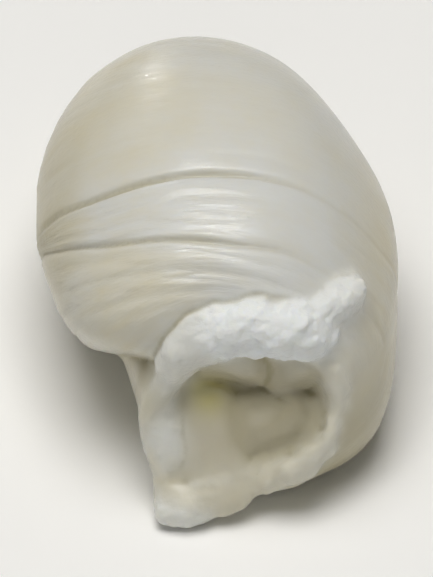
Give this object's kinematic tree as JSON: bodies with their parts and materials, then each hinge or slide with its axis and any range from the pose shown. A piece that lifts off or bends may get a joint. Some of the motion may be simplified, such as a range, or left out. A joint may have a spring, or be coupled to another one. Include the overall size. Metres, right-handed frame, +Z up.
{
  "type": "mozzarella knot",
  "caption": "Knot of fresh stretched-curd cheese with a broad pleated wrap, a torn open end with a curdy lip, and a pinched stub behind.",
  "frame": {"origin": "on the flat underside, below the middle of the knot", "axes": "+Z up, +Y back towards the pinched stub, +X to the right as seen from the torn end, which points to -Y"},
  "size_m": [0.0513, 0.0836, 0.0394],
  "materials": {
    "curd": "wet, smooth fresh cheese"
  },
  "bodies": {
    "root": {"mozzarella_knot": "curd"}
  },
  "joints": []
}
